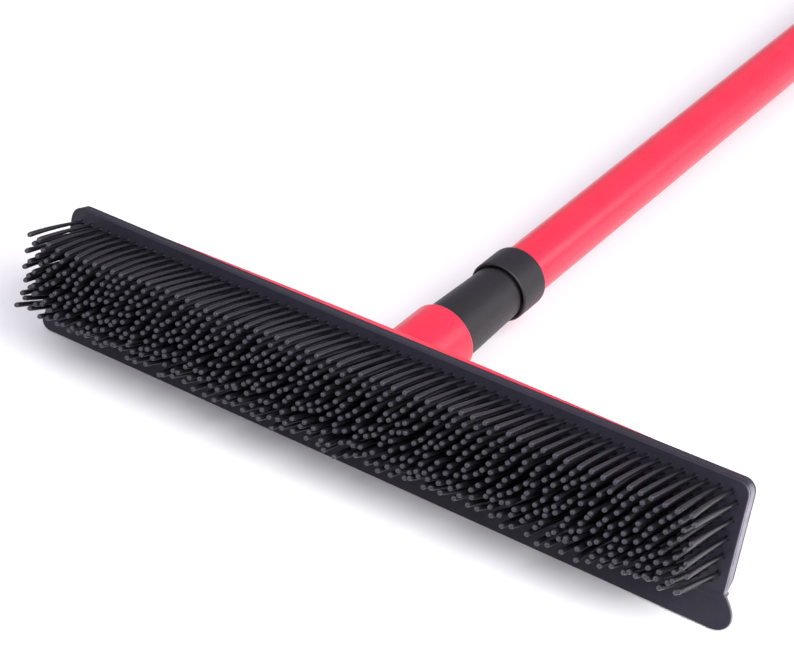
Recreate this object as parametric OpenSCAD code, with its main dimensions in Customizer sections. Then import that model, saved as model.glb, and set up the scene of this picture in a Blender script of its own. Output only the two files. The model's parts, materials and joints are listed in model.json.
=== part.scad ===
// Rubber broom with a squeegee edge and a telescoping twist-lock handle.
// It lies with its blade edge and the cap of its handle on the floor, bristles forward (-Y).
// X runs along the head, +Y towards the handle's cap, and Z is up.

/* [Head] */
// Width of the rubber pad
pad_w = 323; // [280:1:360]
// Height of the pad, from its top edge to the fold of the blade
pad_h = 42.9; // [42:0.1:50]
// Depth of the pad's edge, from its face to the back of its rim
pad_t = 6.2; // [4.5:0.1:7]
// Radius of the pad's two top corners
pad_corner_r = 5; // [3:0.5:12]
// Thickness of the red back behind the rim, at its middle
crown_mid = 6.5; // [3:0.1:7]
// Thickness of the red back behind the rim, at its ends
crown_end = 0.6; // [0.4:0.1:2]
// Outer diameter of the handle socket
socket_d = 30.4; // [28:0.2:34]
// Distance from the pad's face to the mouth of the socket, along the handle
socket_reach = 51.5; // [46:0.1:60]
// Angle between the handle and the pad's normal
socket_angle = 18; // [12:0.5:20]

/* [Blade] */
// Length of the squeegee blade, from its fold to its edge
blade_len = 13.2; // [12:0.2:18]
// Forward lean of the blade from the pad's face
blade_lean = 20; // [12:0.5:22]
// Thickness of the blade at its fold
blade_root_t = 3; // [2:0.1:3.4]
// Thickness of the blade at its edge
blade_edge_t = 1.5; // [1:0.1:2]
// How far the blade flares past the pad at each end
blade_flare = 5.9; // [3:0.1:8]

/* [Bristles] */
// Number of bristle rows
rows = 11; // [6:1:11]
// Bristles in each row
per_row = 63; // [40:1:63]
// Distance between the bristles of a row
bristle_pitch = 5; // [4.5:0.1:5]
// Distance between two rows
row_pitch = 3.5; // [3:0.1:3.5]
// Length of a bristle
bristle_len = 33; // [20:0.5:36]
// Mean diameter of a bristle
bristle_d = 2; // [1.4:0.1:2.6]

/* [Handle] */
// Distance from the pad's face to the end of the handle, pushed in
handle_reach = 884; // [860:1:960]
// Outer diameter of the outer tube
outer_tube_d = 23; // [22.6:0.1:23.2]
// Outer diameter of the inner tube
inner_tube_d = 19; // [18.4:0.1:19]
// Wall of both tubes
tube_wall = 0.6; // [0.5:0.05:0.6]
// Diameter of the black ferrule at the socket
ferrule_d = 26.5; // [25:0.1:27]
// Diameter of the ferrule at the collar
ferrule_end_d = 24.1; // [23.6:0.1:24.6]
// Diameter of the collar ring
collar_d = 27.5; // [27:0.1:30]
// Length of the collar ring
collar_len = 17.2; // [15:0.2:30]
// Diameter of the handle's end cap
cap_d = 25.4; // [25:0.1:28]
// Diameter of the hanging hole
hang_hole_d = 8; // [6:0.5:9]

/* [Twist lock] */
// Offset of the eccentric journal from the handle's axis
cam_offset = 0.6; // [0.4:0.05:0.6]
// Outer diameter of the lock ring
lock_ring_d = 20.4; // [19.8:0.1:20.4]

/* [Hidden] */
$fn = 64;

red = [0.93, 0.2, 0.3];
black = [0.16, 0.15, 0.17];
rubber = [0.2, 0.19, 0.23];
steel = [0.75, 0.76, 0.78];

// Head, in the pad's own frame: X along the head, Y up the pad's face, Z out of the face.
pad_top = 4.6;
pad_fold = pad_top - pad_h;
pad_edge_x = pad_w / 2;
rim_t = 1.2;
rim_depth = 2;
web_back = rim_depth - pad_t;
strip_t = 1;
strip_edge_x = pad_edge_x - 1.5;
strip_top = row_pitch / 2;
strip_bottom = strip_top - rows * row_pitch;
face_step = 0.6;
back_edge_x = pad_edge_x - rim_t;
crown_sag = crown_mid - crown_end;
crown_r = (back_edge_x * back_edge_x + crown_sag * crown_sag) / (2 * crown_sag);
socket_r = socket_d / 2;
socket_foot_to = pad_t + crown_mid + 2;
socket_foot_h = 4;
socket_foot_r = socket_r + 1.6;
axis_y = -22.5;

// Blade's edge corners, as [y, z] in the pad's frame
blade_tip_front = [pad_fold - blade_len * cos(blade_lean), blade_len * sin(blade_lean)];
blade_tip_back = blade_tip_front
    - blade_edge_t * [sin(blade_lean), cos(blade_lean)];
blade_corner_r = 4.8;
blade_wide_x = pad_edge_x + blade_flare;
blade_bottom = blade_tip_back[0] - 0.1;
first_bristle_x = -(per_row - 1) / 2 * bristle_pitch;

// Thread of the ferrule in the socket
thread_pitch = 5.08;
thread_mid_r = 8.8;
thread_swing = 0.7;
thread_clear = 0.3;
thread_from = socket_reach - 20;
thread_len = 15;
thread_steps = 10;
neck_r = 7.8;
core_r = 5.5;

// Stations along the handle, from the pad's face
ferrule_end = socket_reach + 39.5;
inner_tube_from = socket_reach + 8;
rivet_at = inner_tube_from + 16;
inner_tube_to = handle_reach - 96;
collar_from = ferrule_end + 0.6;
nose_end = ferrule_end + 2.6;
lip_from = nose_end + 0.3;
lip_to = lip_from + 1;
bush_flange_from = lip_to + 0.2;
bush_flange_to = bush_flange_from + 1.3;
bush_to = bush_flange_to + 30;
outer_tube_from = bush_flange_to + 0.3;
outer_tube_to = handle_reach - 22;
collar_to = collar_from + collar_len;
cap_from = handle_reach - 48;
cap_round_to = handle_reach - 19;
eye_r = 9.5;
eye_t = 8;
eye_at = handle_reach - eye_r;
plug_from = outer_tube_to - 28;
cam_flange_to = inner_tube_to + 2;
journal_to = cam_flange_to + 16;
journal_r = 5.4;
ring_gap = 0.3;
washer_to = journal_to + 1.6;

// Radii across the handle
outer_r = outer_tube_d / 2;
outer_bore_r = outer_r - tube_wall;
inner_r = inner_tube_d / 2;
inner_bore_r = inner_r - tube_wall;
ferrule_r = ferrule_d / 2;
ferrule_end_r = ferrule_end_d / 2;
nose_r = ferrule_end_r - 0.8;
collar_r = collar_d / 2;
mouth_r = ferrule_end_r + 0.6;
cap_r = cap_d / 2;
bush_bore_r = inner_r + 0.2;
bush_r = outer_bore_r - 0.2;
chamfer = 0.8;

// Lean of the pad back from upright, at which blade edge and cap touch the floor together
lean = atan2(
    axis_y - blade_tip_back[0] + cap_round_to * sin(socket_angle) - cap_r * cos(socket_angle),
    cap_round_to * cos(socket_angle) + cap_r * sin(socket_angle) + blade_tip_back[1]
);
handle_dip = lean - socket_angle;
lift = -(blade_tip_back[0] * cos(lean) + blade_tip_back[1] * sin(lean));
front_y = (strip_top - (rows - 0.5) * row_pitch - bristle_d / 2) * sin(lean)
    - bristle_len * cos(lean);
end_y = axis_y * sin(lean) + eye_at * cos(handle_dip) + eye_r;
shift_y = -(front_y + end_y) / 2;

// Points of an arc about [x, y], from angle a to angle b
function arc(x, y, r, a, b, steps = 12) =
    [for (i = [0:steps]) [x + r * cos(a + (b - a) * i / steps), y + r * sin(a + (b - a) * i / steps)]];

// Outline of the pad, drawn in by inset on every side
function pad_outline(inset) = concat(
    arc(pad_edge_x - pad_corner_r, pad_top - pad_corner_r, pad_corner_r - inset, 0, 90),
    arc(pad_corner_r - pad_edge_x, pad_top - pad_corner_r, pad_corner_r - inset, 90, 180),
    [[inset - pad_edge_x, pad_fold + inset], [pad_edge_x - inset, pad_fold + inset]]
);

// Places a shape drawn in the pad's frame
module in_pad_frame() {
    translate([0, shift_y, lift]) rotate([90 - lean, 0, 0]) children();
}

// Places a shape drawn with Z along the handle, from the pad's face to the cap
module in_handle_frame() {
    in_pad_frame() translate([0, axis_y, 0]) rotate([180 + socket_angle, 0, 0]) children();
}

module pad_slab(inset, from, to) {
    translate([0, 0, from]) linear_extrude(to - from) polygon(pad_outline(inset));
}

// A round bar between two stations
module bar(r, from, to) {
    translate([0, 0, from]) cylinder(r = r, h = to - from);
}

// A hollow bar between two stations
module pipe(r, bore_r, from, to) {
    difference() {
        bar(r, from, to);
        bar(bore_r, from - 1, to + 1);
    }
}

// A round bar with a chamfer at each end
module chamfered_bar(r, from, to) {
    rotate_extrude() polygon([
        [0, from], [r - chamfer, from], [r, from + chamfer],
        [r, to - chamfer], [r - chamfer, to], [0, to]
    ]);
}

// One screw shape, made by winding an off-centre circle; more makes it larger all round
module screw(more, from, len) {
    turns = len / thread_pitch;
    translate([0, 0, from]) rotate(360 * from / thread_pitch)
        linear_extrude(len, twist = -360 * turns, slices = round(thread_steps * turns))
            translate([thread_swing, 0]) circle(thread_mid_r + more, $fn = 20);
}

// Section of the back plate along the head: flat at the front, crowned at the back
module crown_profile() {
    half = asin(back_edge_x / crown_r);
    polygon(concat(
        arc(0, crown_r - pad_t - crown_mid, crown_r, -90 - half, half - 90, 48),
        [[back_edge_x, web_back], [-back_edge_x, web_back]]
    ));
}

// Red back plate with its handle socket, one moulding
module head_back() {
    color(red) in_pad_frame() difference() {
        union() {
            intersection() {
                pad_slab(rim_t, -pad_t - crown_mid, web_back);
                translate([0, pad_top, 0]) rotate([90, 0, 0]) linear_extrude(pad_h) crown_profile();
            }
            intersection() {
                translate([0, axis_y, 0]) rotate([180 + socket_angle, 0, 0]) {
                    bar(socket_r, 0, socket_reach);
                    bar(socket_foot_r, 0, socket_foot_to);
                    translate([0, 0, socket_foot_to])
                        cylinder(r1 = socket_foot_r, r2 = socket_r, h = socket_foot_h);
                }
                union() {
                    pad_slab(rim_t, -pad_t - 1, web_back);
                    translate([-50, -100, -pad_t - 100]) cube([100, 200, 100]);
                }
            }
        }
        translate([0, axis_y, 0]) rotate([180 + socket_angle, 0, 0]) {
            screw(thread_clear, thread_from - 1, socket_reach - thread_from + 3);
            bar(thread_mid_r + thread_swing + 0.6, socket_reach - 1.5, socket_reach + 1);
        }
    }
}

// Rubber pad: a web with a rim that wraps the back plate's edge, and a bed for the bristle rows
module rubber_pad() {
    color(rubber) in_pad_frame() difference() {
        union() {
            pad_slab(0, -pad_t, -face_step);
            pad_slab(face_step, -face_step, 0);
        }
        pad_slab(rim_t, -pad_t - 1, web_back);
        translate([-strip_edge_x, strip_bottom, -strip_t])
            cube([2 * strip_edge_x, strip_top - strip_bottom, strip_t + 1]);
    }
}

// Front outline of the blade, flared at its ends
module blade_outline() {
    right = arc(blade_wide_x - blade_corner_r, blade_bottom + blade_corner_r, blade_corner_r, 20, -90);
    polygon(concat(
        [[pad_edge_x, pad_fold]], right,
        [for (i = [len(right) - 1:-1:0]) [-right[i][0], right[i][1]]],
        [[-pad_edge_x, pad_fold]]
    ));
}

module squeegee_blade() {
    side = [[pad_fold, 0], blade_tip_front, blade_tip_back, [pad_fold, -blade_root_t]];
    color(rubber) in_pad_frame() intersection() {
        translate([0, 0, -20]) linear_extrude(40) blade_outline();
        translate([-200, 0, 0]) rotate([90, 0, 90]) linear_extrude(400) polygon(side);
    }
}

// One row of bristles on its strip of the pad's face; every second row is shifted by half a pitch
module bristle_row(i) {
    y = strip_top - (i - 0.5) * row_pitch;
    stagger = i % 2 == 0 ? bristle_pitch / 2 : 0;
    color(rubber) in_pad_frame() union() {
        translate([-strip_edge_x, y - row_pitch / 2, -strip_t])
            cube([2 * strip_edge_x, row_pitch, strip_t]);
        for (k = [0:per_row - 1])
            translate([first_bristle_x + stagger + k * bristle_pitch, y, -strip_t / 2])
                cylinder(d = bristle_d, h = bristle_len + strip_t / 2, $fn = 24);
    }
}

// Outline of the ferrule's barrel: a slight taper with rounded edges, and a nose for the collar
module barrel_profile() {
    edge_r = 0.8;
    polygon(concat(
        [[0, socket_reach + 0.2]],
        arc(ferrule_r - edge_r, socket_reach + 0.2 + edge_r, edge_r, -90, 0, 4),
        arc(ferrule_end_r - edge_r, ferrule_end - edge_r, edge_r, 0, 90, 4),
        [[nose_r, ferrule_end], [nose_r, nose_end], [0, nose_end]]
    ));
}

// Black ferrule: threaded end for the socket, barrel for the inner tube
module ferrule() {
    color(black) in_handle_frame() difference() {
        union() {
            screw(0, thread_from, thread_len);
            bar(neck_r, thread_from + thread_len - 2, socket_reach + 1);
            rotate_extrude() barrel_profile();
        }
        bar(inner_r, inner_tube_from, nose_end + 1);
        bar(core_r, thread_from - 1, inner_tube_from - 3);
        translate([0, 0, rivet_at]) rotate([-90, 0, 0]) cylinder(r = 2, h = 20);
    }
}

// Rivet through ferrule and inner tube, on the underside
module ferrule_rivet() {
    head_r = 2.6;
    seat = sqrt(inner_bore_r * inner_bore_r - head_r * head_r) - 0.05;
    taper = (ferrule_r - ferrule_end_r) / (ferrule_end - socket_reach);
    outside = ferrule_r - taper * (rivet_at - socket_reach) - 0.2;
    color(steel) in_handle_frame() translate([0, 0, rivet_at]) rotate([-90, 0, 0]) {
        translate([0, 0, seat - 1.2]) cylinder(r = head_r, h = 1.2);
        translate([0, 0, seat - 0.6]) cylinder(r = 1.9, h = outside - seat + 0.6);
    }
}

module inner_tube() {
    color(steel) in_handle_frame() difference() {
        pipe(inner_r, inner_bore_r, inner_tube_from, inner_tube_to);
        translate([0, 0, rivet_at]) rotate([-90, 0, 0]) cylinder(r = 2, h = 20);
    }
}

// Plug in the end of the inner tube, with the eccentric journal of the twist lock
module cam_plug() {
    color(black) in_handle_frame() difference() {
        union() {
            bar(inner_bore_r, inner_tube_to - 26, inner_tube_to);
            bar(inner_r, inner_tube_to, cam_flange_to);
            translate([cam_offset, 0, 0]) bar(journal_r, cam_flange_to, journal_to);
        }
        translate([cam_offset, 0, 0]) bar(1.5, journal_to - 14, journal_to + 1);
    }
}

module cam_washer() {
    color(steel) in_handle_frame() translate([cam_offset, 0, 0])
        pipe(8, 2.1, journal_to, washer_to);
}

module cam_screw() {
    color(steel) in_handle_frame() translate([cam_offset, 0, 0]) difference() {
        union() {
            bar(1.5, journal_to - 13, journal_to);
            bar(2, journal_to, washer_to);
            bar(3.6, washer_to, washer_to + 2.4);
        }
        translate([-0.5, -4, washer_to + 1.4]) cube([1, 8, 2]);
        translate([-4, -0.5, washer_to + 1.4]) cube([8, 1, 2]);
    }
}

// Split expander ring on the journal
module lock_ring() {
    from = cam_flange_to + ring_gap;
    to = journal_to - ring_gap;
    r = lock_ring_d / 2;
    color(black) in_handle_frame() difference() {
        chamfered_bar(r, from, to);
        translate([cam_offset, 0, 0]) bar(journal_r + 0.2, from - 1, to + 1);
        for (z = [from + 3:3:to - 2]) pipe(r + 1, r - 0.6, z, z + 1);
        translate([-r - 1, -1, from - 1]) cube([r, 2, to - from + 2]);
    }
}

// Bush that guides the inner tube in the mouth of the outer tube
module guide_bush() {
    color(black) in_handle_frame() {
        pipe(outer_r - 0.3, bush_bore_r, bush_flange_from, bush_flange_to);
        pipe(bush_r, bush_bore_r, bush_flange_to, bush_to);
    }
}

// Collar ring on the lower end of the outer tube; its mouth takes the nose of the ferrule
module collar() {
    color(black) in_handle_frame() difference() {
        chamfered_bar(collar_r, collar_from, collar_to);
        bar(mouth_r, collar_from - 1, lip_from);
        bar(inner_r + 0.6, lip_from - 1, lip_to + 1);
        bar(outer_r, lip_to, collar_to + 1);
    }
}

module outer_tube() {
    color(red) in_handle_frame() pipe(outer_r, outer_bore_r, outer_tube_from, outer_tube_to);
}

// Plug pressed into the open end of the outer tube, under the cap
module cap_plug() {
    color(black) in_handle_frame() {
        pipe(outer_bore_r, outer_bore_r - 1.6, plug_from, outer_tube_to - 1.5);
        bar(outer_bore_r, outer_tube_to - 1.5, outer_tube_to);
    }
}

// End cap with a hanging eye
module end_cap() {
    color(black) in_handle_frame() difference() {
        union() {
            chamfered_bar(cap_r, cap_from, cap_round_to + chamfer);
            translate([-eye_t / 2, 0, eye_at]) rotate([0, 90, 0]) cylinder(r = eye_r, h = eye_t);
            translate([-eye_t / 2, -eye_r, cap_round_to]) cube([eye_t, 2 * eye_r, eye_at - cap_round_to]);
        }
        bar(outer_r, cap_from - 1, outer_tube_to);
        translate([-eye_t, 0, eye_at]) rotate([0, 90, 0]) cylinder(r = hang_hole_d / 2, h = 2 * eye_t);
    }
}

head_back();
rubber_pad();
squeegee_blade();
for (i = [1:rows]) bristle_row(i);
ferrule();
ferrule_rivet();
inner_tube();
cam_plug();
cam_washer();
cam_screw();
lock_ring();
guide_bush();
collar();
outer_tube();
cap_plug();
end_cap();
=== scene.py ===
"""Looks of the rubber broom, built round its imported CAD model.

The head's shapes are drawn in the pad's own frame: X along the head, Y up the pad's face and
Z out of the face. The handle's shapes are drawn round its axis, with Z along the handle and
zero where the axis meets the pad's face. Sizes are in millimetres and become metres when a
mesh is made.
"""

import json
import math
import random

import bmesh
import bpy
from mathutils import Matrix, Vector, noise


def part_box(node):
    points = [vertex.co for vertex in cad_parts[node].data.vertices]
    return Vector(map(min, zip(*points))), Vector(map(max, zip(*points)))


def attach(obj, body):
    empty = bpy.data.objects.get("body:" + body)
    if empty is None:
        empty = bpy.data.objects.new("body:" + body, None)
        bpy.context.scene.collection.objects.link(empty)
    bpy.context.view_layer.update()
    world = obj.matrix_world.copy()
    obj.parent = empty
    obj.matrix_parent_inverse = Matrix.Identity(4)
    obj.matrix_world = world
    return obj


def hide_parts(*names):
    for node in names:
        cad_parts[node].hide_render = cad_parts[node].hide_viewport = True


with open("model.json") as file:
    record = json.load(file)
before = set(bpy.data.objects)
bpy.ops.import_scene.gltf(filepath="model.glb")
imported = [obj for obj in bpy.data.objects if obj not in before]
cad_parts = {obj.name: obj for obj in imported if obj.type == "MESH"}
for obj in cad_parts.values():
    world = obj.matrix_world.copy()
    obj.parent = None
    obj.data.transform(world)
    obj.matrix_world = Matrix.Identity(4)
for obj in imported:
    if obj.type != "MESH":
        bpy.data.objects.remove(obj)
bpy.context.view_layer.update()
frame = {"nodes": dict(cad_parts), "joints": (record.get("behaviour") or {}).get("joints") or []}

MM = 0.001
SEED = 7
SHARP = 35

# Pad and blade, as in the CAD
PAD_TOP = 4.6
PAD_HEIGHT = 42.9
PAD_DEPTH = 6.2
PAD_CORNER = 5.0
RIM = 1.2
RECESS = 2.0
RIM_BOW = 0.65
RIM_TILT = -0.37
LIP = 0.9
LIP_GROOVE = 0.65
BACK_GROOVE = 0.85
BLADE_LENGTH = 13.2
BLADE_LEAN = math.radians(20)
BLADE_ROOT = 3.0
BLADE_EDGE = 1.5
BLADE_FLARE = 5.9
BLADE_WIDEST = 8.4
BLADE_CORNER = 6.5
CREASE_DROP = 2.0
CREASE_STEP = 0.25
CROWN_MIDDLE = 6.5
CROWN_END = 0.6

# Bristles
ROWS = 11
PER_ROW = 63
PITCH = 5.0
ROW_PITCH = 3.5
BRISTLE_LENGTH = 33.0
BRISTLE_ROOT_R = 0.66
BRISTLE_TIP_R = 1.13
BRISTLE_ARCH = 0.45
BRISTLE_BEND = 1.7
BRISTLE_SIDES = 12

# Handle
SOCKET_ANGLE = math.radians(18)
HANDLE_Y = -22.5
SOCKET_R = 15.2
SOCKET_REACH = 51.5
SOCKET_FLARE = 1.9

# Camera, in the pad's frame
CAMERA_AT = (404.6, 282.7, 668.2)
CAMERA_AIM = (7.1, 8.4, 0.0)
CAMERA_ROLL = math.radians(-0.7)
LENS = 97.1


# ---------------------------------------------------------------- frames

def handle_dip():
    """How far the handle falls towards its cap, as an angle."""
    axis = Vector(frame["joints"][0]["axis"])
    return math.atan2(-axis.z, axis.y)


def pad_frame():
    """The matrix from the pad's frame, in metres, to the row frame."""
    lean = handle_dip() + SOCKET_ANGLE
    low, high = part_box("rubber_pad")
    fold = (PAD_TOP - PAD_HEIGHT) * MM
    up = Vector((0, math.sin(lean), math.cos(lean)))
    out = Vector((0, -math.cos(lean), math.sin(lean)))
    origin_y = high.y - PAD_TOP * MM * up.y + PAD_DEPTH * MM * out.y
    origin_z = low.z - fold * up.z + PAD_DEPTH * MM * out.z
    axes = Matrix((Vector((1, 0, 0)), up, out)).transposed()
    return Matrix.Translation((0, origin_y, origin_z)) @ axes.to_4x4()


def handle_frame():
    """The matrix from the handle's frame, in metres, to the row frame."""
    turn = Matrix.Rotation(math.pi + SOCKET_ANGLE, 4, "X")
    return PAD @ Matrix.Translation((0, HANDLE_Y * MM, 0)) @ turn


def span(node):
    """Where a CAD node starts and ends along the handle, and its greatest radius, in mm."""
    back = HANDLE.inverted()
    points = [back @ v.co / MM for v in frame["nodes"][node].data.vertices]
    along = [p.z for p in points]
    return min(along), max(along), max(p.xy.length for p in points)


def bore_at(node):
    """The least radius of a CAD node at its start along the handle, in mm."""
    back = HANDLE.inverted()
    points = [back @ v.co / MM for v in frame["nodes"][node].data.vertices]
    start = min(p.z for p in points)
    return min(p.xy.length for p in points if p.z < start + 0.1)


PAD = pad_frame()
HANDLE = handle_frame()
PAD_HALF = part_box("rubber_pad")[1].x / MM


# ---------------------------------------------------------------- meshes

def shade(mesh, sharp):
    """Smooth shading, except where faces meet at more than sharp degrees."""
    mesh.polygons.foreach_set("use_smooth", [True] * len(mesh.polygons))
    mesh.set_sharp_from_angle(angle=math.radians(sharp))


def piece(name, bm, matrix, sharp=SHARP):
    """A shown object made from a bmesh in mm, smooth except where faces meet sharply."""
    bmesh.ops.recalc_face_normals(bm, faces=bm.faces)
    bmesh.ops.scale(bm, vec=(MM, MM, MM), verts=bm.verts)
    mesh = bpy.data.meshes.new(name)
    bm.to_mesh(mesh)
    bm.free()
    shade(mesh, sharp)
    obj = bpy.data.objects.new(name, mesh)
    obj.matrix_world = matrix
    bpy.context.scene.collection.objects.link(obj)
    return obj


def combine(obj, other, operation):
    """Cuts other from obj, or joins it on, as one closed mesh, and removes other."""
    bpy.context.view_layer.update()
    modifier = obj.modifiers.new("combine", "BOOLEAN")
    modifier.operation = operation
    modifier.solver = "EXACT"
    modifier.object = other
    graph = bpy.context.evaluated_depsgraph_get()
    mesh = bpy.data.meshes.new_from_object(obj.evaluated_get(graph))
    obj.modifiers.clear()
    obj.data = mesh
    shade(mesh, SHARP)
    bpy.data.objects.remove(other)


def rounded(radius, steps=3):
    """Points (depth, inset) of a quarter round, from the face's edge to the wall."""
    turns = [math.radians(90 * i / steps) for i in range(steps + 1)]
    return [(radius * (1 - math.cos(a)), radius * (1 - math.sin(a))) for a in turns]


def wall_levels(depth, front_r, back_r, front_groove=0.0, back_groove=0.0):
    """Points (depth, inset) down a wall: a round, two grooves, a round."""
    front = rounded(front_r)
    back = [(depth - d, inset) for d, inset in reversed(rounded(back_r))]
    first = min(LIP, depth * 0.3)
    last = depth - min(LIP, depth * 0.3)
    lip = [
        (first, 0.0), (first + 0.12, front_groove),
        (first + 0.4, front_groove), (first + 0.6, 0.1 * front_groove),
    ]
    rear = [
        (last - 0.6, 0.0), (last - 0.45, back_groove),
        (last - 0.1, back_groove), (last + 0.1, back_groove / 2),
    ]
    return front + lip + rear + back


def loft(outline, columns, place, levels):
    """A slab with shaped walls, closed all round.

    outline runs down the right-hand edge as (x, distance down, normal x, normal down);
    columns are shares of the half width from -1 to 1; place(x, down, depth) is a point;
    levels(x, down) gives the wall's (depth, inset) points there.
    """
    bm = bmesh.new()
    grid = {}
    last_row = len(outline) - 1
    last_column = len(columns) - 1
    last_level = len(levels(outline[0][0], outline[0][1])) - 1

    def corner(row, level, column):
        key = (row, level, column)
        if key not in grid:
            x, down, normal_x, normal_down = outline[row]
            share = columns[column]
            depth, inset = levels(x * share, down)[level]
            at = (x - inset * normal_x) * share
            grid[key] = bm.verts.new(place(at, down - inset * normal_down, depth))
        return grid[key]

    def patch(first, second, at):
        for i in range(first):
            for j in range(second):
                quad = [at(i, j), at(i + 1, j), at(i + 1, j + 1), at(i, j + 1)]
                bm.faces.new([corner(*key) for key in quad])

    for level in (0, last_level):
        patch(last_row, last_column, lambda r, c, level=level: (r, level, c))
    for column in (0, last_column):
        patch(last_row, last_level, lambda r, k, column=column: (r, k, column))
    for row in (0, last_row):
        patch(last_level, last_column, lambda k, c, row=row: (row, k, c))
    return bm


def skin(bm, rings):
    """Faces between each ring of vertices and the next."""
    sides = len(rings[0])
    for lower, upper in zip(rings, rings[1:]):
        for i in range(sides):
            j = (i + 1) % sides
            bm.faces.new((lower[i], lower[j], upper[j], upper[i]))


def lathe(profile, sides=96):
    """A closed turned solid from a closed loop of (radius, station)."""
    bm = bmesh.new()
    turns = [2 * math.pi * i / sides for i in range(sides)]
    rings = []
    for radius, station in profile:
        if radius < 1e-6:
            rings.append([bm.verts.new((0, 0, station))] * sides)
            continue
        points = [(radius * math.cos(a), radius * math.sin(a), station) for a in turns]
        rings.append([bm.verts.new(point) for point in points])
    for ring, following in zip(rings, rings[1:] + rings[:1]):
        for i in range(sides):
            j = (i + 1) % sides
            corners = [ring[i], ring[j], following[j], following[i]]
            unique = list(dict.fromkeys(corners))
            if len(unique) > 2:
                bm.faces.new(unique)
    return bm


def arc(x, y, radius, start, end, steps=6):
    """Points of an arc about (x, y), with its angles in degrees."""
    turns = [math.radians(start + (end - start) * i / steps) for i in range(steps + 1)]
    return [(x + radius * math.cos(a), y + radius * math.sin(a)) for a in turns]


# ---------------------------------------------------------------- pad and blade

def corner_rows(edge_x, radius, steps=8):
    """Outline rows round the pad's top corner, from its top edge to its side."""
    rows = []
    for i in range(steps + 1):
        a = math.radians(90 * i / steps)
        x = edge_x - radius + radius * math.sin(a)
        rows.append((x, radius - radius * math.cos(a), math.sin(a), -math.cos(a)))
    return rows


def blade_rows(edge_x):
    """Outline rows of the blade: flaring out, then round to its edge."""
    rows = []
    for i in range(1, 25):
        down = BLADE_WIDEST * i / 24
        x = edge_x + BLADE_FLARE * math.sin(math.pi / 2 * i / 24)
        rows.append((x, PAD_HEIGHT + down, 1.0, 0.0))
    centre_x = edge_x + BLADE_FLARE - BLADE_CORNER
    height = BLADE_LENGTH - BLADE_WIDEST
    for i in range(1, 9):
        a = math.radians(90 * i / 8)
        x = centre_x + BLADE_CORNER * math.cos(a)
        down = PAD_HEIGHT + BLADE_WIDEST + height * math.sin(a)
        rows.append((x, down, math.cos(a), math.sin(a)))
    return rows


def stand(x, down):
    """How far the rim stands above a straight line: up at both ends, most at the left."""
    share = x / PAD_HALF
    return max(1 - down / 6, 0) * (RIM_BOW * share * share + RIM_TILT * share)


def rubber_place(x, down, depth):
    """A point of the moulding: the pad's face is flat, and the blade bends forward from it."""
    bend_r = 6.0
    bend = bend_r * BLADE_LEAN
    past = min(max(down - PAD_HEIGHT + bend / 2, 0), bend)
    turn = past / bend_r
    y = PAD_TOP - min(down, PAD_HEIGHT - bend / 2) - bend_r * math.sin(turn)
    y += stand(x, down)
    z = bend_r * (1 - math.cos(turn))
    beyond = max(down - PAD_HEIGHT - bend / 2, 0)
    crease = PAD_HEIGHT + CREASE_DROP * min(max((PAD_HALF + 0.5 - abs(x)) / 5, 0), 1) ** 0.5
    depth += CREASE_STEP * min(max((down - crease) / 0.5, 0), 1) * max(1 - depth, 0)
    y -= beyond * math.cos(BLADE_LEAN)
    z += beyond * math.sin(BLADE_LEAN)
    return (x, y - depth * math.sin(turn), z - depth * math.cos(turn))


def rubber_levels(x, down):
    """Depth and rounding of the moulding's wall: deep pad, thin tapered blade."""
    beyond = down - PAD_HEIGHT
    if beyond <= 0:
        near_end = min(max((abs(x) - PAD_HALF + 4) / 3, 0), 1)
        near_fold = min(max((down - PAD_HEIGHT + 4.5) / 4.5, 0), 1)
        depth = PAD_DEPTH - (PAD_DEPTH - BLADE_ROOT) * near_end * near_fold ** 1.5
        grooves = 1 - near_end * near_fold
        return wall_levels(depth, 0.5, 0.3, LIP_GROOVE * grooves, BACK_GROOVE * grooves)
    taper = BLADE_ROOT + (BLADE_EDGE - BLADE_ROOT) * min(beyond / BLADE_LENGTH, 1)
    step = PAD_DEPTH - BLADE_ROOT
    depth = taper + step * max(0, 1 - beyond / 0.6)
    return wall_levels(depth, 0.4, 0.4)


def rubber_moulding():
    """Pad and squeegee blade, one soft moulding with a recess for the red back."""
    ends = [1 - share for share in (0.003, 0.006, 0.01, 0.014, 0.02, 0.026, 0.034, 0.042)]
    middle = [i / 60 - 1 for i in range(3, 118)]
    columns = [-1.0] + [-share for share in ends] + middle + ends[::-1] + [1.0]
    downs = (14, 22, 30, 37, 38.5, 39.5, 40.5, 41.3, 42, 42.5, 42.98)
    side = [(PAD_HALF, down, 1.0, 0.0) for down in downs]
    outline = corner_rows(PAD_HALF, PAD_CORNER) + side + blade_rows(PAD_HALF)
    moulding = piece("rubber_moulding", loft(outline, columns, rubber_place, rubber_levels), PAD)
    recess = piece("recess", back_shape(RIM, PAD_DEPTH + 1, lambda x: 0.0, 0.01), PAD)
    combine(moulding, recess, "DIFFERENCE")
    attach(moulding, "head")
    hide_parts("rubber_pad", "squeegee_blade")
    return moulding


def back_shape(inset, reach, crown, round_r):
    """A slab behind the web with the pad's outline drawn in; crown(x) is added to its depth."""
    edge_x = PAD_HALF - inset
    web = PAD_DEPTH - RECESS
    height = PAD_HEIGHT - 2 * inset
    bottom_r = 5.0
    top = corner_rows(edge_x, PAD_CORNER - inset)
    side = [(edge_x, height * i / 6, 1.0, 0.0) for i in range(2, 5)]
    bottom = [
        (x, height - r, nx, -ny)
        for x, r, nx, ny in reversed(corner_rows(edge_x, bottom_r, 5))
    ]
    columns = [i / 48 - 1 for i in range(97)]

    def place(x, down, depth):
        return (x, PAD_TOP - inset - down + stand(x, inset + down), -web - depth)

    def levels(x, down):
        return wall_levels(reach - web + crown(x), 0.01, round_r)

    return loft(top + side + bottom, columns, place, levels)


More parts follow.
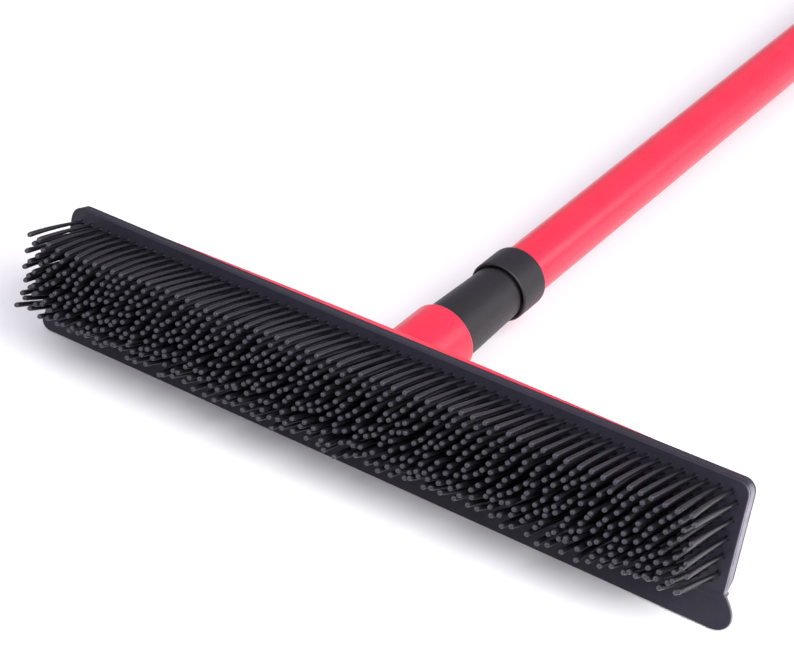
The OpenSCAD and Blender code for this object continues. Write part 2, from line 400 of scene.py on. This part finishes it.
def crown(x):
    """How far the red back stands behind the rim, x along the head."""
    share = x / (PAD_HALF - RIM)
    return CROWN_END + (CROWN_MIDDLE - CROWN_END) * (1 - share * share)


def socket_profile():
    """Closed section of the handle socket: flared foot, rounded mouth, plain bore."""
    mouth_bore, bore, floor_at, foot = 10.1, 9.1, 30.5, 6.0
    flare = [
        (SOCKET_R + SOCKET_FLARE * (1 - t) ** 2.4, foot + 5 + 10 * t)
        for t in [i / 8 for i in range(9)]
    ]
    mouth = arc(SOCKET_R - 1.0, SOCKET_REACH - 1.0, 1.0, 0, 90)
    inside = [
        (mouth_bore + 0.4, SOCKET_REACH), (mouth_bore, SOCKET_REACH - 0.4),
        (mouth_bore, SOCKET_REACH - 1.5), (bore, SOCKET_REACH - 1.9),
        (bore, floor_at + 0.4), (bore - 0.4, floor_at), (0, floor_at),
    ]
    return [(0, foot)] + [(SOCKET_R + SOCKET_FLARE, foot)] + flare + mouth + inside


def red_head():
    """Crowned red back plate and handle socket, one hard moulding."""
    head = piece("red_head", back_shape(RIM, PAD_DEPTH, crown, 0.55), PAD)
    socket = piece("socket", lathe(socket_profile()), HANDLE)
    combine(head, socket, "UNION")
    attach(head, "head")
    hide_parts("head_back")
    return head


# ---------------------------------------------------------------- bristles

def bump(x, middle, width):
    """A smooth hill of height 1."""
    return math.exp(-(((x - middle) / width) ** 2))


def tip_lean(x, row, rng):
    """How far a bristle's tip strays along the head and up the face, in mm."""
    low = row / (ROWS - 1)
    across = -0.2 + 2.0 * bump(x, -128, 24) - 0.7 * bump(x, -8, 10)
    up = -0.2 - 2.1 * bump(x, -130, 22) + 1.7 * bump(x, 72, 18)
    up += low ** 2.5 * (1.6 + 3.2 * (x / 155) ** 2)
    loose = 0.35 + 1.0 * low ** 0.7
    drift = noise.noise_vector(Vector((x / 13, row * 0.6, 3.1)))
    across += 2.3 * loose * drift.x + rng.gauss(0, 0.5 * loose)
    up += 2.3 * loose * drift.y + rng.gauss(0, 0.45 * loose)
    return across, up


def add_bristle(bm, x, y, across, up, rise):
    """One tapered bristle, lightly arched towards its tip, with a blunt dimpled end."""
    turns = [2 * math.pi * i / BRISTLE_SIDES for i in range(BRISTLE_SIDES)]
    axis = Vector((0, 0, 1))
    slope = BRISTLE_BEND / BRISTLE_LENGTH
    tilt = Vector((across * slope, up * slope, 1))
    shares = [-0.012, 0.004, 0.02, 0.045, 0.12, 0.25, 0.4, 0.55, 0.7, 0.85, 0.955, 0.985, 1.0]
    rings = []
    for share in shares:
        bend = max(share, 0) ** BRISTLE_BEND
        arch = 4 * rise * max(share, 0) * (1 - share)
        centre = Vector((x + across * bend, y + up * bend + arch, share * BRISTLE_LENGTH))
        radius = BRISTLE_ROOT_R + (BRISTLE_TIP_R - BRISTLE_ROOT_R) * max(share, 0)
        radius += 0.55 * math.exp(-max(share, 0) * 70)
        if share > 0.99:
            radius -= 0.3
        elif share > 0.97:
            radius -= 0.07
        turn = axis.rotation_difference(tilt * bend + Vector((0, 0, 1 - bend)))
        around = [Vector((radius * math.cos(a), radius * math.sin(a), 0)) for a in turns]
        rings.append([bm.verts.new(centre + turn @ point) for point in around])
    skin(bm, rings)
    bm.faces.new(list(reversed(rings[0])))
    tip = rings[-1]
    middle = sum((v.co for v in tip), Vector()) / BRISTLE_SIDES
    rim = [bm.verts.new(middle + (v.co - middle) * 0.55 - axis * 0.05) for v in tip]
    pit = [bm.verts.new(middle + (v.co - middle) * 0.35 - axis * 0.22) for v in tip]
    skin(bm, [tip, rim, pit])
    bm.faces.new(pit)


def bristle_row(row):
    """One row of bristles, standing on the pad's face."""
    rng = random.Random(SEED + row)
    bm = bmesh.new()
    shift = PITCH / 2 if row % 2 else 0.0
    for i in range(PER_ROW):
        x = (i - (PER_ROW - 1) / 2) * PITCH + shift
        across, up = tip_lean(x, row, rng)
        rise = BRISTLE_ARCH * rng.uniform(0.2, 1.6)
        add_bristle(bm, x, -row * ROW_PITCH, across, up, rise)
    obj = piece(f"bristles_{row + 1}", bm, PAD, sharp=60)
    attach(obj, "head")
    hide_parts(f"bristle_row_{row + 1}")
    return obj


# ---------------------------------------------------------------- handle

def collar_ring():
    """Collar ring: rounded rim at its mouth, long rounded shoulder at its far end."""
    start, end, radius = span("collar")
    lip = span("guide_bush")[0] - 1.2
    tube_r = span("outer_tube")[2]
    inner_r = span("inner_tube")[2]
    mouth_r = bore_at("collar")
    shoulder = 2.6
    drop = radius - tube_r - 0.5
    rim = arc(radius - 0.9, start + 0.9, 0.9, -90, 0)
    turns = [math.pi / 2 * i / 8 for i in range(9)]
    far = [
        (radius - drop * (1 - math.cos(a)), end - shoulder * (1 - math.sin(a)))
        for a in turns
    ]
    inside = [
        (tube_r, end - 0.2), (tube_r, lip + 1.0), (inner_r + 0.6, lip + 1.0),
        (inner_r + 0.6, lip), (mouth_r, lip), (mouth_r, start + 0.5), (mouth_r + 0.4, start),
    ]
    obj = piece("collar_ring", lathe(rim + far + inside), HANDLE)
    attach(obj, "outer_pole")
    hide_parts("collar")
    return obj


def hanging_cap():
    """End cap: a round sleeve that flattens into a hanging eye."""
    start, end, _ = span("end_cap")
    tube_end = span("outer_tube")[1]
    sleeve_r = 12.6
    eye_r, eye_half = 9.5, 4.0
    eye_at = end - eye_r
    neck = end - 19
    bm = bmesh.new()
    sides = 96
    stations = [start, start + 0.25, start + 0.8, start + 1.4]
    stations += [start + (neck - start) * i / 10 for i in range(1, 10)]
    stations += [neck + (eye_at - neck) * i / 8 for i in range(9)]
    stations += [eye_at + eye_r * math.sin(math.radians(a)) for a in range(8, 90, 8)]
    stations += [end - 0.02]
    rings = []
    for station in stations:
        flat = min(max((station - tube_end) / (eye_at - tube_end - 3.5), 0), 1)
        flat = flat * flat * (3 - 2 * flat)
        half_x = sleeve_r + (eye_half - sleeve_r) * flat
        half_y = sleeve_r + (eye_r - sleeve_r) * flat
        if station > eye_at:
            half_y *= math.sqrt(max(1 - ((station - eye_at) / eye_r) ** 2, 0.0004))
            half_x -= 1.2 * ((station - eye_at) / eye_r) ** 6
        if station < start + 1:
            trim = 0.8 - math.sqrt(max(0.64 - (0.8 - (station - start)) ** 2, 0))
            half_x -= trim
            half_y -= trim
        power = 2 + 3 * flat
        ring = []
        for i in range(sides):
            a = 2 * math.pi * i / sides
            scale = (abs(math.cos(a)) ** power + abs(math.sin(a)) ** power) ** (-1 / power)
            x = half_x * scale * math.cos(a)
            y = half_y * scale * math.sin(a)
            ring.append(bm.verts.new((x, y, station)))
        rings.append(ring)
    skin(bm, rings)
    bm.faces.new(list(reversed(rings[0])))
    bm.faces.new(rings[-1])
    obj = piece("hanging_cap", bm, HANDLE)
    tube_r = span("outer_tube")[2]
    bore = [(0, start - 1), (tube_r, start - 1), (tube_r, tube_end), (0, tube_end)]
    combine(obj, piece("bore", lathe(bore), HANDLE), "DIFFERENCE")
    hole = [(0, -9), (6.5, -9), (6.5, -eye_half)] + arc(5.2, -eye_half + 1.2, 1.2, 270, 180, 4)
    hole += arc(5.2, eye_half - 1.2, 1.2, 180, 90, 4) + [(6.5, eye_half), (6.5, 9), (0, 9)]
    across = HANDLE @ Matrix.Translation((0, 0, eye_at * MM)) @ Matrix.Rotation(math.pi / 2, 4, "Y")
    combine(obj, piece("hole", lathe(hole, 64), across), "DIFFERENCE")
    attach(obj, "outer_pole")
    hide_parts("end_cap")
    return obj


# ---------------------------------------------------------------- materials

def node(tree, kind, **inputs):
    """A shader node with some of its inputs set."""
    made = tree.nodes.new(kind)
    for name, value in inputs.items():
        made.inputs[name.replace("_", " ")].default_value = value
    return made


def grain(tree, scale, detail=3.0, stretch=(1, 1, 1)):
    """A noise fixed to the object, in repeats per metre."""
    place = node(tree, "ShaderNodeTexCoord")
    mapping = node(tree, "ShaderNodeMapping", Scale=stretch)
    made = node(tree, "ShaderNodeTexNoise", Scale=scale, Detail=detail, Roughness=0.55)
    tree.links.new(place.outputs["Object"], mapping.inputs["Vector"])
    tree.links.new(mapping.outputs["Vector"], made.inputs["Vector"])
    return made.outputs["Fac"]


def ramp(tree, value, stops):
    """A colour ramp from (position, colour) stops."""
    made = node(tree, "ShaderNodeValToRGB")
    elements = made.color_ramp.elements
    while len(elements) < len(stops):
        elements.new(0.5)
    for element, (position, colour) in zip(elements, stops):
        element.position = position
        element.color = (*colour, 1)
    tree.links.new(value, made.inputs["Fac"])
    return made.outputs["Color"]


def spread(tree, value, low, high):
    """A noise value mapped to the range low to high."""
    made = node(tree, "ShaderNodeMapRange", From_Min=0.3, From_Max=0.7, To_Min=low, To_Max=high)
    tree.links.new(value, made.inputs["Value"])
    return made.outputs["Result"]


def relief(tree, shader, value, strength, distance):
    """Bump from a value, its height in metres."""
    made = node(tree, "ShaderNodeBump", Strength=strength, Distance=distance)
    tree.links.new(value, made.inputs["Height"])
    tree.links.new(made.outputs["Normal"], shader.inputs["Normal"])


def surface(name, **inputs):
    """A material with its shader's own sockets set."""
    made = bpy.data.materials.new(name)
    made.use_nodes = True
    shader = made.node_tree.nodes["Principled BSDF"]
    for key, value in inputs.items():
        shader.inputs[key.replace("_", " ")].default_value = value
    return made, made.node_tree, shader


def moulded_red():
    """Satin red plastic with a faint flow in its colour."""
    made, tree, shader = surface("moulded_red", Metallic=0.0, IOR=1.42)
    colour = ramp(tree, grain(tree, 45), [(0.3, (0.72, 0.019, 0.050)), (0.7, (0.78, 0.025, 0.060))])
    tree.links.new(colour, shader.inputs["Base Color"])
    tree.links.new(spread(tree, grain(tree, 900), 0.3, 0.4), shader.inputs["Roughness"])
    relief(tree, shader, grain(tree, 2200, 2), 0.12, 0.0001)
    return made


def coated_red():
    """Satin red powder coat: a fine orange peel."""
    made, tree, shader = surface("coated_red", Metallic=0.0, IOR=1.44)
    colour = ramp(tree, grain(tree, 60), [(0.3, (0.72, 0.019, 0.050)), (0.7, (0.77, 0.024, 0.058))])
    tree.links.new(colour, shader.inputs["Base Color"])
    tree.links.new(spread(tree, grain(tree, 1300), 0.26, 0.36), shader.inputs["Roughness"])
    relief(tree, shader, grain(tree, 1500, 2), 0.16, 0.0001)
    return made


def textured_black():
    """Black plastic with a fine sparked texture."""
    made, tree, shader = surface("textured_black", Metallic=0.0, IOR=1.46)
    stops = [(0.35, (0.007, 0.006, 0.008)), (0.75, (0.018, 0.015, 0.019))]
    colour = ramp(tree, grain(tree, 2600, 2), stops)
    tree.links.new(colour, shader.inputs["Base Color"])
    tree.links.new(spread(tree, grain(tree, 1800), 0.40, 0.58), shader.inputs["Roughness"])
    relief(tree, shader, grain(tree, 2400, 2), 0.5, 0.0002)
    return made


def moulded_rubber():
    """Black rubber with a violet cast; its end walls are painted pale, a painted highlight for the
    light they catch.
    """
    made, tree, shader = surface("moulded_rubber", Metallic=0.0, IOR=1.5)
    dark_stops = [(0.3, (0.009, 0.0078, 0.0165)), (0.7, (0.014, 0.0125, 0.024))]
    # The pale colour on the end walls is a painted highlight, not the rubber's own colour.
    end_wall_highlight_stops = [(0.3, (0.17, 0.16, 0.19)), (0.7, (0.25, 0.24, 0.28))]
    dark = ramp(tree, grain(tree, 120, 5), dark_stops)
    end_wall_highlight = ramp(tree, grain(tree, 160, 5), end_wall_highlight_stops)
    place = node(tree, "ShaderNodeTexCoord")
    axes = node(tree, "ShaderNodeSeparateXYZ")
    sideways = node(tree, "ShaderNodeMath")
    sideways.operation = "ABSOLUTE"
    end_wall_highlight_mask = node(tree, "ShaderNodeMapRange", From_Min=0.55, From_Max=0.99)
    mixed = node(tree, "ShaderNodeMixRGB")
    tree.links.new(place.outputs["Normal"], axes.inputs["Vector"])
    tree.links.new(axes.outputs["X"], sideways.inputs[0])
    tree.links.new(sideways.outputs["Value"], end_wall_highlight_mask.inputs["Value"])
    tree.links.new(end_wall_highlight_mask.outputs["Result"], mixed.inputs["Fac"])
    tree.links.new(dark, mixed.inputs["Color1"])
    tree.links.new(end_wall_highlight, mixed.inputs["Color2"])
    tree.links.new(mixed.outputs["Color"], shader.inputs["Base Color"])
    tree.links.new(spread(tree, grain(tree, 700, 4), 0.5, 0.68), shader.inputs["Roughness"])
    relief(tree, shader, grain(tree, 1600, 3), 0.25, 0.00012)
    return made


def bristle_rubber():
    """The same rubber on a bristle: darkest near its root, as painted shade, and greyest on its
    tip, partly wear and partly painted light.
    """
    made, tree, shader = surface("bristle_rubber", Metallic=0.0, IOR=1.5)
    place = node(tree, "ShaderNodeTexCoord")
    axes = node(tree, "ShaderNodeSeparateXYZ")
    along = node(tree, "ShaderNodeMapRange", From_Min=0.0, From_Max=BRISTLE_LENGTH * MM)
    tree.links.new(place.outputs["Object"], axes.inputs["Vector"])
    tree.links.new(axes.outputs["Z"], along.inputs["Value"])
    # Dark shafts towards the root are painted shade between the crowded bristles; the grey tip is
    # partly wear and partly painted light on the tip faces.
    stops = [
        (0.0, (0.004, 0.0035, 0.006)), (0.5, (0.007, 0.0065, 0.0095)),
        (0.97, (0.012, 0.011, 0.015)), (0.99, (0.036, 0.034, 0.043)),
    ]
    colour = ramp(tree, along.outputs["Result"], stops)
    tree.links.new(colour, shader.inputs["Base Color"])
    tree.links.new(spread(tree, grain(tree, 500, 4), 0.28, 0.45), shader.inputs["Roughness"])
    relief(tree, shader, grain(tree, 1500, 3), 0.2, 0.0001)
    return made


def natural_nylon():
    """Off-white nylon of the hidden lock parts."""
    made, tree, shader = surface("natural_nylon", Metallic=0.0, IOR=1.53)
    colour = ramp(tree, grain(tree, 90), [(0.3, (0.66, 0.65, 0.60)), (0.7, (0.74, 0.73, 0.69))])
    tree.links.new(colour, shader.inputs["Base Color"])
    tree.links.new(spread(tree, grain(tree, 700), 0.4, 0.55), shader.inputs["Roughness"])
    relief(tree, shader, grain(tree, 1500), 0.15, 0.0001)
    return made


def plated_steel():
    """Zinc-plated tube with fine lines drawn along it."""
    made, tree, shader = surface("plated_steel", Metallic=1.0)
    lines = grain(tree, 3000, 3, stretch=(1, 0.02, 1))
    colour = ramp(tree, grain(tree, 40), [(0.3, (0.60, 0.61, 0.63)), (0.7, (0.70, 0.71, 0.73))])
    tree.links.new(colour, shader.inputs["Base Color"])
    tree.links.new(spread(tree, lines, 0.2, 0.34), shader.inputs["Roughness"])
    relief(tree, shader, lines, 0.15, 0.00005)
    return made


def turned_steel():
    """Bare steel of screw, washer and rivet."""
    made, tree, shader = surface("turned_steel", Metallic=1.0)
    colour = ramp(tree, grain(tree, 300), [(0.3, (0.55, 0.55, 0.57)), (0.7, (0.66, 0.66, 0.68))])
    tree.links.new(colour, shader.inputs["Base Color"])
    tree.links.new(spread(tree, grain(tree, 2500), 0.25, 0.4), shader.inputs["Roughness"])
    relief(tree, shader, grain(tree, 3000), 0.2, 0.00005)
    return made


def paint(obj, material):
    """Gives an object one material on all its faces."""
    obj.data.materials.clear()
    obj.data.materials.append(material)
    obj.data.polygons.foreach_set("material_index", [0] * len(obj.data.polygons))


def pale_floor():
    """The floor's paper: near white, hardly rough."""
    made, tree, shader = surface("pale_floor", Roughness=0.9)
    colour = ramp(tree, grain(tree, 3), [(0.3, (0.90, 0.90, 0.905)), (0.7, (0.92, 0.92, 0.92))])
    tree.links.new(colour, shader.inputs["Base Color"])
    return made


# ---------------------------------------------------------------- stage

def floor():
    """A wide plain floor under the part."""
    bm = bmesh.new()
    bmesh.ops.create_grid(bm, x_segments=4, y_segments=4, size=6000)
    obj = piece("floor", bm, Matrix.Translation((0, 0, -0.0002)))
    paint(obj, pale_floor())


def soft_box(name, at, aim, size, power):
    """A square soft light pointed at a place."""
    light = bpy.data.lights.new(name, "AREA")
    light.size = size
    light.energy = power
    obj = bpy.data.objects.new(name, light)
    obj.location = at
    obj.rotation_euler = (aim - at).to_track_quat("-Z", "Y").to_euler()
    bpy.context.scene.collection.objects.link(obj)


def studio():
    """Faintly violet surroundings and soft light from the right, from above and from behind."""
    world = bpy.data.worlds.new("studio")
    world.use_nodes = True
    sky = world.node_tree.nodes["Background"]
    sky.inputs["Color"].default_value = (0.88, 0.84, 1.0, 1)
    sky.inputs["Strength"].default_value = 0.5
    bpy.context.scene.world = world
    head = PAD.translation
    soft_box("key", head + Vector((1.1, -0.35, 0.95)), head + Vector((0.1, 0.0, 0.0)), 1.0, 32)
    soft_box("top", head + Vector((-0.2, -1.0, 2.0)), head, 2.0, 18)
    soft_box("rim", head + Vector((0.9, 0.9, 0.45)), head + Vector((0.16, 0.0, 0.0)), 0.5, 3)
    bpy.context.scene.view_settings.view_transform = "Standard"


def camera():
    """The camera at the viewing angle, set from the pad's frame."""
    data = bpy.data.cameras.new("camera")
    data.sensor_width = 36
    data.lens = LENS
    data.clip_start = 0.01
    data.clip_end = 50
    obj = bpy.data.objects.new("camera", data)
    at = PAD @ (Vector(CAMERA_AT) * MM)
    aim = PAD @ (Vector(CAMERA_AIM) * MM)
    turn = (aim - at).to_track_quat("-Z", "Y").to_matrix().to_4x4()
    obj.matrix_world = Matrix.Translation(at) @ turn @ Matrix.Rotation(CAMERA_ROLL, 4, "Z")
    bpy.context.scene.collection.objects.link(obj)
    bpy.context.scene.camera = obj


# ---------------------------------------------------------------- making

noise.seed_set(SEED)
red = moulded_red()
coat = coated_red()
black = textured_black()
rubber = moulded_rubber()
soft = bristle_rubber()
nylon = natural_nylon()
zinc = plated_steel()
steel = turned_steel()

paint(rubber_moulding(), rubber)
paint(red_head(), red)
for row in range(ROWS):
    paint(bristle_row(row), soft)
paint(collar_ring(), black)
paint(hanging_cap(), black)

cad_looks = {
    "ferrule": black, "ferrule_rivet": steel, "inner_tube": zinc, "cam_plug": nylon,
    "cam_washer": steel, "cam_screw": steel, "lock_ring": nylon, "guide_bush": nylon,
    "outer_tube": coat, "cap_plug": nylon,
}
for name, look in cad_looks.items():
    paint(frame["nodes"][name], look)

floor()
studio()
camera()
